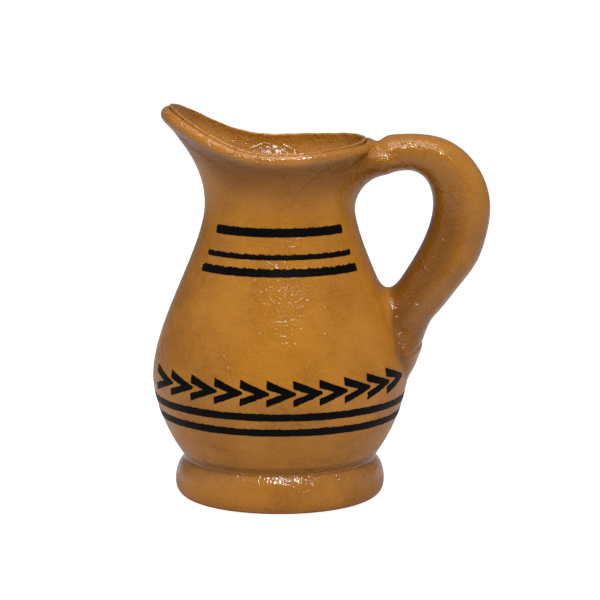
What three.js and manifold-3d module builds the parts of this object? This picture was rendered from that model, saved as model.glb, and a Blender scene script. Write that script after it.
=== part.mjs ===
// A small clay jug: coiled foot, round belly, flared neck cut high on the spout side, pulled handle.
// Millimetres, +Z up. The origin is on the jug's axis, in the plane that it stands on.
// The spout points to -X, the handle to +X, and the painted front flank faces -Y.
import * as THREE from 'three';
import { mergeVertices } from 'three/addons/utils/BufferGeometryUtils.js';
import Module from 'manifold-3d';

// Heights, each one counted from the one before it.
const CREASE_HEIGHT = 15.4;
const BELLY_RISE = 30.9;
const SHOULDER_RISE = 66.1;
const NECK_FLARE_RISE = 22.6;
const SPOUT_RISE = 15;
const HANDLE_SIDE_RISE = 2.5;

// Outer radii of the thrown wall.
const CREASE_RADIUS = 36.1;
const BELLY_RADIUS = 48.4;
const NECK_RADIUS = 28.4;
const SPOUT_RADIUS = 45.8;
const FLARE_ANGLE = 46 * Math.PI / 180;
const FLARE_OVERRUN = 9;

// How full the curves are: each Bezier handle as a share of the rise, or swell, that it belongs to.
const FOOT_FLARE_OUT = 0.814;
const FOOT_FLARE_UP = 0.431;
const BELLY_FULL_BELOW = 0.14;
const BELLY_FULL_ABOVE = 0.308;
const NECK_FULL_BELOW = 0.253;
const NECK_FULL_ABOVE = 0.33;
const FLARE_FULL = 0.52;

// Clay thicknesses.
const WALL = 4.2;
const FLOOR = 5.5;
const FLOOR_FILLET = 6;
const FLOOR_FILLET_TURN = 70 * Math.PI / 180;
const FLOOR_EDGE = 0.8;
const SEAM_ABOVE_BELLY = 39.7;

// Foot coil, wrapped round the bottom of the wall.
const FOOT_OVERHANG = 3.8;
const FOOT_WIDEST_HEIGHT = 6;
const GROUND_EDGE_INSET = 6.2;
const FOOT_TOP_FULL = 0.735;
const FOOT_TOP_ROUND = 1;
const FOOT_TOP_EDGE = 0.3;

// Rolled rim: a coil pressed round the flare, with the thin edge of the neck standing inside it.
const LIP_THICKNESS = 1.1;
const LIP_STAND = 1;
const COIL_REACH = 3.4;
const COIL_DROP = 3.9;
const COIL_HEIGHT = 9.5;
const COIL_REBATE = 0.8;
const COIL_ROUND = 2.1;
const COIL_SEAT_DROP = 0.7;
const LIP_ROUND = 0.4;
const LIP_TAPER = 4;
const SPOUT_SHARPNESS = 2.8;
const HANDLE_SIDE_SHARPNESS = 1.8;

// Handle: thickness is measured in the plane of the loop, width across it.
const HANDLE_ROOT_BELOW_LIP = 8.2;
const HANDLE_CROWN_BELOW_LIP = 5.9;
const HANDLE_CROWN_OUT = 15;
const HANDLE_REACH = 31.3;
const HANDLE_BEND_DROP = 21;
const LOWER_ROOT_ABOVE_BELLY = 20.7;
const TAIL_BELOW_ROOT = 24;
const ROOT_THICKNESS = 13.4;
const BEND_THICKNESS = 21.4;
const LOW_THICKNESS = 18.6;
const TAIL_THICKNESS = 5;
const ROOT_WIDTH = 18;
const BEND_WIDTH = 20;
const LOW_WIDTH = 24;
const TAIL_WIDTH = 31;
const TAIL_TIP_WIDTH = 18;
const UPPER_FILLET = 12;
const UPPER_FILLET_REACH = 10.6;
const SADDLE_DIP = 4.5;
const LOWER_FILLET = 6;
const FILLET_SIDE_SHARE = 0.35;
const ROOT_DEPTH = 6;
const LOW_STAND_OFF = 2.2;
const TAIL_DEPTH = 3.4;
const TAIL_THINNING = 2.6;

// How full the handle's curve is: Bezier handles as shares of the stretch that they belong to.
const RISE_FULL = { startOut: 0.3, startUp: 0.5, endOut: 0.65 };
const CROWN_FULL = 0.56;
const BEND_FULL_ABOVE = 0.55;
const BEND_FULL_BELOW = 0.33;
const RETURN_FULL = { out: 0.33, up: 0.245 };
const TAIL_FULL = { startIn: 2.2, startDown: 4, endIn: 0.2, endUp: 0.45 };

// The bar is parted from its roots at these stations of its path.
const UPPER_JOINT_STATION = 0.72;
const LOWER_JOINT_STATION = 2.78;
const JOINT_GAP_STATION = 0.008;

// Painted slip, a thin film on the clay.
const FILM = 0.3;
const FILM_CLEARANCE = 0.2;
const LOWER_RING_BELOW_BELLY = 13;
const UPPER_RING_BELOW_BELLY = 6.9;
const RING_WIDTH = 2.6;
const STRIPES = [
  { name: 'upper', belowNeck: 7.1, width: 3.2, halfAngle: 52.4 },
  { name: 'middle', belowNeck: 15.9, width: 1.9, halfAngle: 55.5 },
  { name: 'lower', belowNeck: 21.4, width: 2.9, halfAngle: 57 },
];
const CHEVRONS = 11;
const CHEVRON_ABOVE_BELLY = 2.15;
const CHEVRON_HEIGHT = 10;
const CHEVRON_ARM_END = 2.5;
const CHEVRON_NOTCH = 0.5;
const CHEVRON_TURN = 13;
const CHEVRON_PITCH = 11.8;
const CHEVRON_DRIFT = 0.055;
const CHEVRON_SPREAD = 0.0415;
const CHEVRON_ROW_MIDDLE = 1;
const CHEVRON_END_GROWTH = 0.16;
const CHEVRON_END_CLIMB = 0.7;

// Clearance between pieces that are cut by each other, and the fineness of the facets.
const CLEARANCE = 0.3;
const ROUND = 56;
const HANDLE_ROUND = 16;
const DEGREE = Math.PI / 180;

const creaseZ = CREASE_HEIGHT;
const bellyZ = creaseZ + BELLY_RISE;
const neckZ = bellyZ + SHOULDER_RISE;
const rimZ = neckZ + NECK_FLARE_RISE;
const spoutZ = rimZ + SPOUT_RISE;
const handleLipZ = rimZ + HANDLE_SIDE_RISE;
const seamZ = bellyZ + SEAM_ABOVE_BELLY;
const groundRadius = CREASE_RADIUS + FOOT_OVERHANG - GROUND_EDGE_INSET;

const wasm = await Module();
wasm.setup();

const clay = { color: 0xa7733a, roughness: 0.42, metalness: 0 };
const slip = { color: 0x17171a, roughness: 0.5, metalness: 0 };

function point(r, z) {
  return new THREE.Vector2(r, z);
}

function mix(a, b, t) {
  return a + (b - a) * t;
}

function smooth(t) {
  const s = Math.min(1, Math.max(0, t));
  return s * s * (3 - 2 * s);
}

function steps(from, to, count) {
  return Array.from({ length: count + 1 }, (_, i) => mix(from, to, i / count));
}

// The outer profile, from the floor up: a straight foot, the belly, the shoulder and the flare.
function wallCurves() {
  const flareEnd = point(SPOUT_RADIUS, spoutZ - COIL_DROP);
  const flareRise = flareEnd.y - neckZ;
  const flareArm = FLARE_FULL * flareRise;
  const flareControl = point(
    flareEnd.x - flareArm * Math.cos(FLARE_ANGLE), flareEnd.y - flareArm * Math.sin(FLARE_ANGLE));
  const beyond = point(
    flareEnd.x + FLARE_OVERRUN * Math.cos(FLARE_ANGLE), flareEnd.y + FLARE_OVERRUN * Math.sin(FLARE_ANGLE));
  const bellySwell = BELLY_RADIUS - CREASE_RADIUS;
  return [
    new THREE.LineCurve(point(CREASE_RADIUS, -1), point(CREASE_RADIUS, creaseZ)),
    new THREE.CubicBezierCurve(
      point(CREASE_RADIUS, creaseZ),
      point(CREASE_RADIUS + FOOT_FLARE_OUT * bellySwell, creaseZ + FOOT_FLARE_UP * BELLY_RISE),
      point(BELLY_RADIUS, bellyZ - BELLY_FULL_BELOW * BELLY_RISE), point(BELLY_RADIUS, bellyZ)),
    new THREE.CubicBezierCurve(
      point(BELLY_RADIUS, bellyZ), point(BELLY_RADIUS, bellyZ + BELLY_FULL_ABOVE * SHOULDER_RISE),
      point(NECK_RADIUS, neckZ - NECK_FULL_BELOW * SHOULDER_RISE), point(NECK_RADIUS, neckZ)),
    new THREE.CubicBezierCurve(
      point(NECK_RADIUS, neckZ), point(NECK_RADIUS, neckZ + NECK_FULL_ABOVE * flareRise),
      flareControl, flareEnd),
    new THREE.LineCurve(flareEnd, beyond),
  ];
}

// The profile moved inwards by inset along its normal, as points of rising height.
function insetProfile(inset) {
  const line = [];
  for (const curve of wallCurves()) {
    for (const t of steps(0, 1, 40)) {
      const along = curve.getTangent(t);
      const at = curve.getPoint(t);
      line.push(point(at.x - inset * along.y, at.y + inset * along.x));
    }
  }
  return line;
}

const profiles = new Map();

function radiusAt(z, inset = 0) {
  if (!profiles.has(inset)) profiles.set(inset, insetProfile(inset));
  const line = profiles.get(inset);
  const above = Math.max(1, line.findIndex((p) => p.y > z));
  const low = line[above - 1];
  const high = line[above];
  return mix(low.x, high.x, (z - low.y) / (high.y - low.y));
}

// The rim: how high its thin lip stands, and how far out, at an angle counted from -Y towards +X.
function lipZ(angle) {
  const towardsSpout = -Math.sin(angle);
  if (towardsSpout > 0) return rimZ + SPOUT_RISE * towardsSpout ** SPOUT_SHARPNESS;
  return rimZ + HANDLE_SIDE_RISE * (-towardsSpout) ** HANDLE_SIDE_SHARPNESS;
}

function lipRadius(angle) {
  return radiusAt(lipZ(angle) - COIL_DROP) - COIL_REACH;
}

function onWall(r, angle, z) {
  return new THREE.Vector3(r * Math.sin(angle), -r * Math.cos(angle), z);
}

function meshOf(name, geometry, finish) {
  const mesh = new THREE.Mesh(geometry, new THREE.MeshStandardMaterial(finish));
  mesh.name = name;
  return mesh;
}

// Six times the volume that a mesh encloses, negative when its faces point inwards.
function signedVolume(positions, index) {
  const corner = (i) => new THREE.Vector3().fromArray(positions, 3 * index[i]);
  let sum = 0;
  for (let i = 0; i < index.length; i += 3) {
    sum += corner(i).dot(corner(i + 1).cross(corner(i + 2)));
  }
  return sum;
}

// Quads between neighbouring loops; the row of loops either closes on itself or gets flat ends.
function loft(loops, closed) {
  const count = loops[0].length;
  const positions = loops.flat().flatMap((p) => [p.x, p.y, p.z]);
  const index = [];
  const rows = closed ? loops.length : loops.length - 1;
  for (let row = 0; row < rows; row += 1) {
    const here = row * count;
    const next = ((row + 1) % loops.length) * count;
    for (let i = 0; i < count; i += 1) {
      const j = (i + 1) % count;
      index.push(here + i, here + j, next + j);
      index.push(here + i, next + j, next + i);
    }
  }
  if (!closed) {
    const last = (loops.length - 1) * count;
    for (let i = 1; i < count - 1; i += 1) {
      index.push(0, i + 1, i);
      index.push(last, last + i, last + i + 1);
    }
  }
  if (signedVolume(positions, index) < 0) index.reverse();
  const geometry = new THREE.BufferGeometry();
  geometry.setAttribute('position', new THREE.Float32BufferAttribute(positions, 3));
  geometry.setIndex(index);
  return geometry;
}

// A closed section for every step round the jug, joined into a ring.
function roundLoft(section) {
  const angles = steps(0, 2 * Math.PI, ROUND).slice(0, ROUND);
  return loft(angles.map((angle) => section(angle).map((p) => onWall(p.x, angle, p.y))), true);
}

// A turned solid. The profile runs up the outside and down the inside, or starts and ends on the axis.
function turned(profile) {
  const geometry = new THREE.LatheGeometry(profile, ROUND);
  geometry.rotateX(Math.PI / 2);
  geometry.deleteAttribute('normal');
  geometry.deleteAttribute('uv');
  return mergeVertices(geometry, 1e-5);
}

function toSolid(geometry) {
  const vertProperties = new Float32Array(geometry.attributes.position.array);
  const triVerts = new Uint32Array(geometry.index.array);
  return new wasm.Manifold(new wasm.Mesh({ numProp: 3, vertProperties, triVerts }));
}

function fromSolid(solid) {
  const mesh = solid.getMesh();
  const geometry = new THREE.BufferGeometry();
  geometry.setAttribute('position', new THREE.BufferAttribute(mesh.vertProperties, 3));
  geometry.setIndex(new THREE.BufferAttribute(mesh.triVerts, 1));
  return geometry;
}

// The floor: a beaten disc with its upper edge taken off, seated in the bottom of the wall.
function baseSlab() {
  const radius = CREASE_RADIUS - WALL - CLEARANCE;
  const profile = [
    point(0, 0), point(radius, 0), point(radius, FLOOR - FLOOR_EDGE), point(radius - FLOOR_EDGE, FLOOR),
    point(0, FLOOR),
  ];
  return meshOf('base_slab', turned(profile), clay);
}

// The inside of the wall at its foot: thumbed out over the edge of the floor, with a seat for the disc.
function floorFillet() {
  const inner = CREASE_RADIUS - WALL;
  const seat = FLOOR + CLEARANCE;
  const centre = point(inner - FLOOR_FILLET, seat + FLOOR_FILLET);
  const fillet = steps(0, FLOOR_FILLET_TURN, 3).map(
    (turn) => point(centre.x + FLOOR_FILLET * Math.cos(turn), centre.y - FLOOR_FILLET * Math.sin(turn)));
  return [...fillet, point(fillet.at(-1).x, seat), point(inner, seat), point(inner, 0)];
}

// The underside of the foot, rounded up from the ground to its widest line, from a radius outwards.
function footRound(from, count) {
  const widest = groundRadius + GROUND_EDGE_INSET;
  const start = 1 - Math.sqrt((widest - from) / GROUND_EDGE_INSET);
  return steps(start, 1, count).map(
    (t) => point(widest - GROUND_EDGE_INSET * (1 - t) ** 2, FOOT_WIDEST_HEIGHT * t ** 2));
}

// The foot: a fat coil luted round the bottom of the wall and rounded over.
function footRing() {
  const inner = CREASE_RADIUS + CLEARANCE;
  const low = footRound(inner, 4);
  const widest = low.at(-1);
  const high = new THREE.CubicBezierCurve(
    widest, point(widest.x, mix(widest.y, creaseZ, FOOT_TOP_FULL)),
    point(inner + FOOT_TOP_EDGE, creaseZ - FOOT_TOP_ROUND), point(inner + FOOT_TOP_EDGE, creaseZ));
  const profile = [...low, ...high.getPoints(6).slice(1), point(inner, creaseZ), low[0].clone()];
  return meshOf('foot_ring', turned(profile), clay);
}

// The belly: the thrown wall from the ground to the seam where the neck is set on.
function bellyWall() {
  const outside = [...steps(creaseZ, bellyZ, 7), ...steps(bellyZ, seamZ, 9).slice(1)];
  const inside = [...steps(seamZ, bellyZ, 7), ...steps(bellyZ, creaseZ + WALL, 5).slice(1)];
  const profile = [point(groundRadius, 0), footRound(CREASE_RADIUS, 1)[0]];
  profile.push(...outside.map((z) => point(radiusAt(z), z)));
  profile.push(...inside.map((z) => point(radiusAt(z, WALL), z)), ...floorFillet());
  profile.push(profile[0].clone());
  return meshOf('belly_wall', turned(profile), clay);
}

// Where the rim coil sits against the neck, from the bottom of its rebate up to the lip.
function coilSeat(angle) {
  const top = lipZ(angle);
  const bottom = top - COIL_HEIGHT;
  const foot = point(radiusAt(bottom) - COIL_REBATE, bottom);
  const head = point(lipRadius(angle) + LIP_THICKNESS / 2, top - LIP_STAND - COIL_SEAT_DROP);
  return new THREE.LineCurve(foot, head).getPoints(3);
}

function innerRadius(z, angle) {
  const top = lipZ(angle);
  const blend = smooth((top - z) / (COIL_HEIGHT + LIP_TAPER));
  return mix(lipRadius(angle) - LIP_THICKNESS / 2, radiusAt(z, WALL), blend);
}

// The neck: set on the belly, drawn in, flared, and cut high on the spout side with a thin edge.
function neckWall() {
  const bottom = seamZ + CLEARANCE;
  const section = (angle) => {
    const top = lipZ(angle);
    const lip = lipRadius(angle);
    const half = LIP_THICKNESS / 2;
    const coilFoot = top - COIL_HEIGHT;
    const outside = steps(bottom, coilFoot, 8).map((z) => point(radiusAt(z), z));
    const shoulder = top - LIP_ROUND;
    const edge = [point(lip + half, shoulder), point(lip + half / 2, top), point(lip - half / 2, top)];
    const inside = steps(shoulder, coilFoot - LIP_TAPER, 5).map((z) => point(innerRadius(z, angle), z));
    const deep = steps(coilFoot - LIP_TAPER, bottom, 6).slice(1).map((z) => point(radiusAt(z, WALL), z));
    return [...outside, ...coilSeat(angle), ...edge, ...inside, ...deep];
  };
  return meshOf('neck_wall', roundLoft(section), clay);
}

// The outer roll of the rim: follows the flare, then turns over towards the lip.
function coilOutside(angle, swell) {
  const top = lipZ(angle);
  const lip = lipRadius(angle);
  const centre = point(lip + COIL_REACH - COIL_ROUND, top - COIL_DROP);
  const rise = COIL_DROP - LIP_STAND;
  const flank = steps(top - COIL_HEIGHT + CLEARANCE, top - COIL_DROP, 3);
  const outline = flank.map((z) => point(radiusAt(z, -swell), z));
  for (const turn of steps(0, Math.PI / 2, 3).slice(1)) {
    const r = centre.x + (COIL_ROUND + swell) * Math.cos(turn);
    outline.push(point(r, centre.y + (rise + swell) * Math.sin(turn)));
  }
  return outline;
}

function rimCoil() {
  const section = (angle) => {
    const seat = coilSeat(angle).reverse().map((p) => point(p.x + CLEARANCE, p.y));
    seat[seat.length - 1].y += CLEARANCE;
    return [...coilOutside(angle, 0), ...seat];
  };
  return meshOf('rim_coil', roundLoft(section), clay);
}

// The space of the jug and of its mouth, swollen by the clearance: what the handle's roots are cut by.
function jugSkin() {
  const columns = steps(0, 2 * Math.PI, ROUND).slice(0, ROUND).map((angle) => {
    const coilFoot = lipZ(angle) - COIL_HEIGHT;
    const wall = [...steps(creaseZ + WALL, bellyZ, 6), ...steps(bellyZ, coilFoot, 18).slice(1)];
    const outline = wall.map((z) => point(radiusAt(z, -CLEARANCE), z));
    outline.push(...coilOutside(angle, CLEARANCE));
    outline.push(point(lipRadius(angle) + LIP_THICKNESS, spoutZ + COIL_HEIGHT));
    return outline.map((p) => onWall(p.x, angle, p.y));
  });
  const rings = columns[0].map((_, i) => columns.map((column) => column[i]));
  return toSolid(loft(rings, false));
}

// The handle's centre line: out of the neck, over the crown, round the bend and down the belly.
function handlePath() {
  const rootZ = handleLipZ - HANDLE_ROOT_BELOW_LIP;
  const crown = point(radiusAt(rootZ) + HANDLE_CROWN_OUT, handleLipZ - HANDLE_CROWN_BELOW_LIP);
  const root = point(radiusAt(rootZ) - ROOT_DEPTH, rootZ);
  const bend = point(BELLY_RADIUS + HANDLE_REACH - BEND_THICKNESS / 2, crown.y - HANDLE_BEND_DROP);
  const lowZ = bellyZ + LOWER_ROOT_ABOVE_BELLY;
  const low = point(radiusAt(lowZ) + LOW_STAND_OFF, lowZ);
  const tail = point(BELLY_RADIUS - TAIL_DEPTH, lowZ - TAIL_BELOW_ROOT);
  const over = bend.x - crown.x;
  const fall = bend.y - low.y;
  return [
    new THREE.CubicBezierCurve(
      root, point(mix(root.x, crown.x, RISE_FULL.startOut), mix(root.y, crown.y, RISE_FULL.startUp)),
      point(mix(root.x, crown.x, RISE_FULL.endOut), crown.y), crown),
    new THREE.CubicBezierCurve(
      crown, point(crown.x + CROWN_FULL * over, crown.y),
      point(bend.x, bend.y + BEND_FULL_ABOVE * HANDLE_BEND_DROP), bend),
    new THREE.CubicBezierCurve(
      bend, point(bend.x, bend.y - BEND_FULL_BELOW * fall),
      point(mix(low.x, bend.x, RETURN_FULL.out), mix(low.y, bend.y, RETURN_FULL.up)), low),
    new THREE.CubicBezierCurve(
      low, point(low.x - TAIL_FULL.startIn, low.y - TAIL_FULL.startDown),
      point(tail.x - TAIL_FULL.endIn, mix(tail.y, low.y, TAIL_FULL.endUp)), tail),
  ];
}

// Size of the bar at a station: 0 root, 1 crown, 2 bend, 3 where it meets the belly, 4 end of the tail.
function handleSize(station) {
  if (station > 3) {
    const down = station - 3;
    const spread = mix(LOW_WIDTH, TAIL_WIDTH, smooth(2 * down));
    const width = mix(spread, TAIL_TIP_WIDTH, smooth(2 * down - 1));
    return { thickness: mix(LOW_THICKNESS, TAIL_THICKNESS, down ** TAIL_THINNING), width };
  }
  const thick = [ROOT_THICKNESS, ROOT_THICKNESS, BEND_THICKNESS, LOW_THICKNESS];
  const wide = [ROOT_WIDTH, ROOT_WIDTH, BEND_WIDTH, LOW_WIDTH];
  const from = Math.min(2, Math.floor(station));
  const t = smooth(station - from);
  return { thickness: mix(thick[from], thick[from + 1], t), width: mix(wide[from], wide[from + 1], t) };
}

// How close a place is to the wall, from 0 at the reach of a fillet to 1 at the clay.
function closeness(gap, reach) {
  return Math.min(1, Math.max(0, 1 - gap / reach));
}

function handleLoop(station) {
  const from = Math.min(3, Math.floor(station));
  const curve = handlePath()[from];
  const centre = curve.getPoint(station - from);
  const along = curve.getTangent(station - from);
  const out = point(-along.y, along.x);
  const { thickness, width } = handleSize(station);
  const above = station < 1 ? closeness(centre.x - NECK_RADIUS - 2 * CLEARANCE, UPPER_FILLET_REACH) : 0;
  out.lerp(point(0, 1), Math.min(1, 3 * above)).normalize();
  const inside = centre.clone().addScaledVector(out, -thickness / 2);
  const below = station > 2 ? closeness(inside.x - radiusAt(inside.y), LOWER_FILLET) : 0;
  const inwards = thickness / 2 + UPPER_FILLET * above ** 2 + LOWER_FILLET * below ** 2;
  const outwards = thickness / 2 - SADDLE_DIP * above;
  const sideways = width / 2 + FILLET_SIDE_SHARE * UPPER_FILLET * above ** 2;
  return steps(0, 2 * Math.PI, HANDLE_ROUND).slice(0, HANDLE_ROUND).map((turn) => {
    const up = Math.cos(turn) * (Math.cos(turn) > 0 ? outwards : inwards);
    return new THREE.Vector3(centre.x + out.x * up, sideways * Math.sin(turn), centre.y + out.y * up);
  });
}

function handleStretch(from, to, count) {
  return loft(steps(from, to, count).map(handleLoop), false);
}

function handle() {
  const from = UPPER_JOINT_STATION + JOINT_GAP_STATION;
  return meshOf('handle', handleStretch(from, LOWER_JOINT_STATION - JOINT_GAP_STATION, 18), clay);
}

// The two lumps of clay that the handle's ends are blended into, cut to the jug's own skin.
function handleRoots() {
  const skin = jugSkin();
  const upper = toSolid(handleStretch(0, UPPER_JOINT_STATION, 8)).subtract(skin);
  const lower = toSolid(handleStretch(LOWER_JOINT_STATION, 4, 12)).subtract(skin);
  return [
    meshOf('upper_handle_root', fromSolid(upper), clay),
    meshOf('lower_handle_root', fromSolid(lower), clay),
  ];
}

// A film of paint lies between two offsets of the wall.
function filmPoint(angle, z, raised) {
  const height = FILM_CLEARANCE + (raised ? FILM : 0);
  return onWall(radiusAt(z, -height), angle, z);
}

function filmLoop(angleA, zA, angleB, zB) {
  return [
    filmPoint(angleA, zA, false), filmPoint(angleA, zA, true),
    filmPoint(angleB, zB, true), filmPoint(angleB, zB, false),
  ];
}

function bellyRing(name, middleZ) {
  const half = RING_WIDTH / 2;
  const loops = steps(0, 2 * Math.PI, ROUND).slice(0, ROUND).map(
    (angle) => filmLoop(angle, middleZ - half, angle, middleZ + half));
  return meshOf(name, loft(loops, true), slip);
}

function neckStripe(side, facing, stripe) {
  const middle = neckZ - stripe.belowNeck;
  const span = stripe.halfAngle * DEGREE;
  const loops = steps(facing - span, facing + span, 18).map(
    (angle) => filmLoop(angle, middle - stripe.width / 2, angle, middle + stripe.width / 2));
  return meshOf(`${side}_neck_stripe_${stripe.name}`, loft(loops, false), slip);
}

// An arrowhead pointing to the handle, drawn as one bent stroke from its upper to its lower arm.
function chevron(name, facing, mirror, tipAngle, turn, climb) {
  const middle = bellyZ + CHEVRON_ABOVE_BELLY + climb;
  const half = CHEVRON_HEIGHT / 2;
  const at = (along, up) => [facing + mirror * (tipAngle - turn * (1 - along)) * DEGREE, middle + up];
  const loops = steps(-1, 1, 6).map((t) => {
    const back = Math.abs(t);
    const outer = at(1 - back, -t * half);
    const inner = at(CHEVRON_NOTCH * (1 - back), -t * (half - CHEVRON_ARM_END));
    return mirror > 0 ? filmLoop(...outer, ...inner) : filmLoop(...inner, ...outer);
  });
  return meshOf(name, loft(loops, false), slip);
}

function chevronRow(side, facing, mirror) {
  const middle = (CHEVRONS - 1) / 2;
  return Array.from({ length: CHEVRONS }, (_, i) => {
    const k = i - middle;
    const spread = CHEVRON_PITCH * k + CHEVRON_DRIFT * k ** 2 + CHEVRON_SPREAD * k ** 3;
    const tip = CHEVRON_ROW_MIDDLE + CHEVRON_TURN / 2 + spread;
    const turn = CHEVRON_TURN + CHEVRON_END_GROWTH * k ** 2;
    const climb = CHEVRON_END_CLIMB * Math.max(0, k / middle) ** 3;
    return chevron(`${side}_chevron_${i + 1}`, facing, mirror, tip, turn, climb);
  });
}

function painting() {
  const flanks = [{ side: 'front', facing: 0, mirror: 1 }, { side: 'back', facing: Math.PI, mirror: -1 }];
  const marks = [
    bellyRing('upper_belly_ring', bellyZ - UPPER_RING_BELOW_BELLY),
    bellyRing('lower_belly_ring', bellyZ - LOWER_RING_BELOW_BELLY),
  ];
  for (const { side, facing, mirror } of flanks) {
    marks.push(...STRIPES.map((stripe) => neckStripe(side, facing, stripe)));
    marks.push(...chevronRow(side, facing, mirror));
  }
  return marks;
}

function clayJug() {
  const jug = new THREE.Group();
  const body = new THREE.Group();
  const grip = new THREE.Group();
  const paint = new THREE.Group();
  body.add(baseSlab(), footRing(), bellyWall(), neckWall(), rimCoil());
  grip.add(handle(), ...handleRoots());
  paint.add(...painting());
  jug.add(body, grip, paint);
  return jug;
}

export default clayJug();
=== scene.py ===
# A small clay jug: turned body on a coiled foot, rolled rim with a spout, pulled handle and slip painting.
# Lengths are millimetres inside the functions and metres on the properties and in the meshes.
# Angles run round the jug from its painted front, -Y, towards the handle, +X.
import math
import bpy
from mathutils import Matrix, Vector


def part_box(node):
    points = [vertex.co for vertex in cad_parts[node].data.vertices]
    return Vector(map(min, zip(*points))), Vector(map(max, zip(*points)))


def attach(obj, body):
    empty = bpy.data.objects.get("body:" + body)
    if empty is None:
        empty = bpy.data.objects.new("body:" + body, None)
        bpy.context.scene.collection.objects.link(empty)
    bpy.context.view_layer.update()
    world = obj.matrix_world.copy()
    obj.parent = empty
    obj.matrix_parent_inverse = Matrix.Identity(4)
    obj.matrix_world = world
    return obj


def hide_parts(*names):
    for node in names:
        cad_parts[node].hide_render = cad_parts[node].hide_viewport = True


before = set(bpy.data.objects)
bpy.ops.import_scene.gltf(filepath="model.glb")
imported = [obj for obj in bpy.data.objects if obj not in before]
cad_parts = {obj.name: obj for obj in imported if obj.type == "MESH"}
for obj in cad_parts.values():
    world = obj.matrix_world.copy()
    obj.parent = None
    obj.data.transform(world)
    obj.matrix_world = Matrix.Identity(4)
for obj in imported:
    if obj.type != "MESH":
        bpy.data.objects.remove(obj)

from types import SimpleNamespace

import bmesh
import bpy
import numpy as np

bl_info = {
    "name": "Clay Jug",
    "version": (1, 0, 0),
    "blender": (4, 5, 0),
    "location": "View3D > Sidebar > Clay Jug",
    "description": "A thrown clay jug with a rolled rim, a pulled handle and painted bands",
    "category": "Add Mesh",
}

MM = 0.001
BODY = "root"

# Columns round the jug, the step of its sampled outline, and the fineness of the handle's sampled clay in mm.
COLUMNS = 384
OUTLINE_STEP = 0.05
HANDLE_GRAIN = 0.5

# Rows of the turned skins: the floor under and over, the foot coil under and over its widest line, the wall
# outside and inside, the round of the lip and of the floor's fillet, and each stretch of the rim roll.
FLOOR_ROWS = (24, 48)
FOOT_ROWS = (22, 34)
WALL_ROWS = (150, 90)
ROUND_ROWS = 9
ROLL_ROWS = 16

# The turned outline: how full its curves are, as shares of the rise or swell that they belong to.
FOOT_FLARE_OUT = 0.814
FOOT_FLARE_UP = 0.431
BELLY_FULL_BELOW = 0.14
BELLY_FULL_ABOVE = 0.308
NECK_FULL_BELOW = 0.253
NECK_FULL_ABOVE = 0.33
FLARE_FULL = 0.52
FLARE_ANGLE = math.radians(46)
FLARE_OVERRUN = 9
CREASE_SOFTNESS = 0.8
CREASE_REACH = 3
CREASE_LAP = 0.4
FOOT_WIDEST_HEIGHT = 6
GROUND_EDGE_INSET = 6.2
FOOT_TOP_FULL = 0.735
FLOOR_FILLET = 6
FLOOR_GAP = 0.3
UNDERSIDE_HOLLOW = 0.5
UNDERSIDE_RADIUS = 29

# How far a piece follows its seam's neighbour, dipping under it on the way.
SEAM_DIPS = (0.2, 0.4, 0.7, 1, 1.4, 2)

# Marks of the hand: the sway of the wall, the wave of its cut lip, depth and spacing of the throwing rings
# and the floor's spiral, depth, spacing and turn of the finger ridges, and a hollow as depth, distance below
# the lip and reach.
SWAY_DEPTH = 0.028
LIP_WAVE = 0.07
THROWING_RINGS = (0.011, 4.7)
FLOOR_SPIRAL = (0.12, 5.2)
FINGER_RIDGES = ((0.07, 5.3, 1), (0.03, 1.9, -1))
HOLLOW_UNDER_ROLL = (0.3, 9.2, 1.9)

# Painted shade: where it darkens the clay under the roll and fades below the lip, its bands by the crease
# as depth, height over it and reach, and where hands and shelves have dulled the varnish. Pairs say where a
# change starts and is complete.
SHADE_STARTS_BELOW_LIP = (3.2, 5.7)
SHADE_FADES_BELOW_LIP = (7, 24)
CREASE_SHADE = ((0.9, 1.6, 0.9), (0.8, -0.5, 0.5))
HELD_BELOW_LIP = (4.5, 7)
HELD_OVER_CREASE = (1, 6)
STOOD_OVER_GROUND = (11, 7)

# Painted shade on the handle: the heights between which it deepens, its depth outside and what the inner side
# adds, both at the crown and lower down, what the tail adds, how deep it gets, and how worn the bar's varnish
# is.
HANDLE_SHADE_DEEPENS = (120, 100)
TAIL_SHADE_DEEPENS = (74, 62)
OUTER_SHADE = (0.12, 0.55)
INNER_SHADE = (0.5, 0.55)
TAIL_SHADE = 0.4
DEEPEST_SHADE = 1.15
HANDLE_WEAR = 0.25

# The rim: the seam of the roll, its reach beyond the thin lip, and how steeply the rim climbs.
SPOUT_SHARPNESS = 2.8
HANDLE_SIDE_SHARPNESS = 1.8
TIP_SHARPNESS = 6
ROLL_HEIGHT = 9.5
ROLL_REACH = 3.4
ROLL_DROP = 3.9
ROLL_RADIUS = 2.15
SPOUT_ROLL_SWELL = 0.75
SPOUT_LIP_INSET = 1.75
LIP_STAND = 1
LIP_STAND_FRONT = 0.6
LIP_STAND_HANDLE = 1.8
LIP_TAPER = 13.5
GROOVE_DEPTH = 0.5

# Handle stations: 0 in the neck, 1 crown, 2 bend, 3 on the belly, 4 end of the tail.
ROOT_BELOW_LIP = 8.2
CROWN_BELOW_LIP = 5.9
CROWN_OUT = 15
BEND_DROP = 21
LOW_ABOVE_BELLY = 20.7
TAIL_BELOW_LOW = 23
ROOT_DEPTH = 6
LOW_STAND_OFF = 2.2
TAIL_DEPTH = 3.4
BAR_THICKNESS = (13.4, 13.4, 21.4, 18.6, 5)
BAR_WIDTH = (18, 18, 20, 24, 18)
TAIL_SPREAD = 31
TAIL_THINNING = 2.6
BAR_SQUARENESS = 2.25
BEND_INSET = 0.3

# The handle's ends: the heights where each starts and is complete, and how widely it runs together with the
# body, on its outer side and in the web on its inner side.
UPPER_END = (92, 108)
LOWER_END = (80, 62)
UPPER_BLEND = (2, 15)
LOWER_BLEND = (2.8, 8.7)

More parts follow.
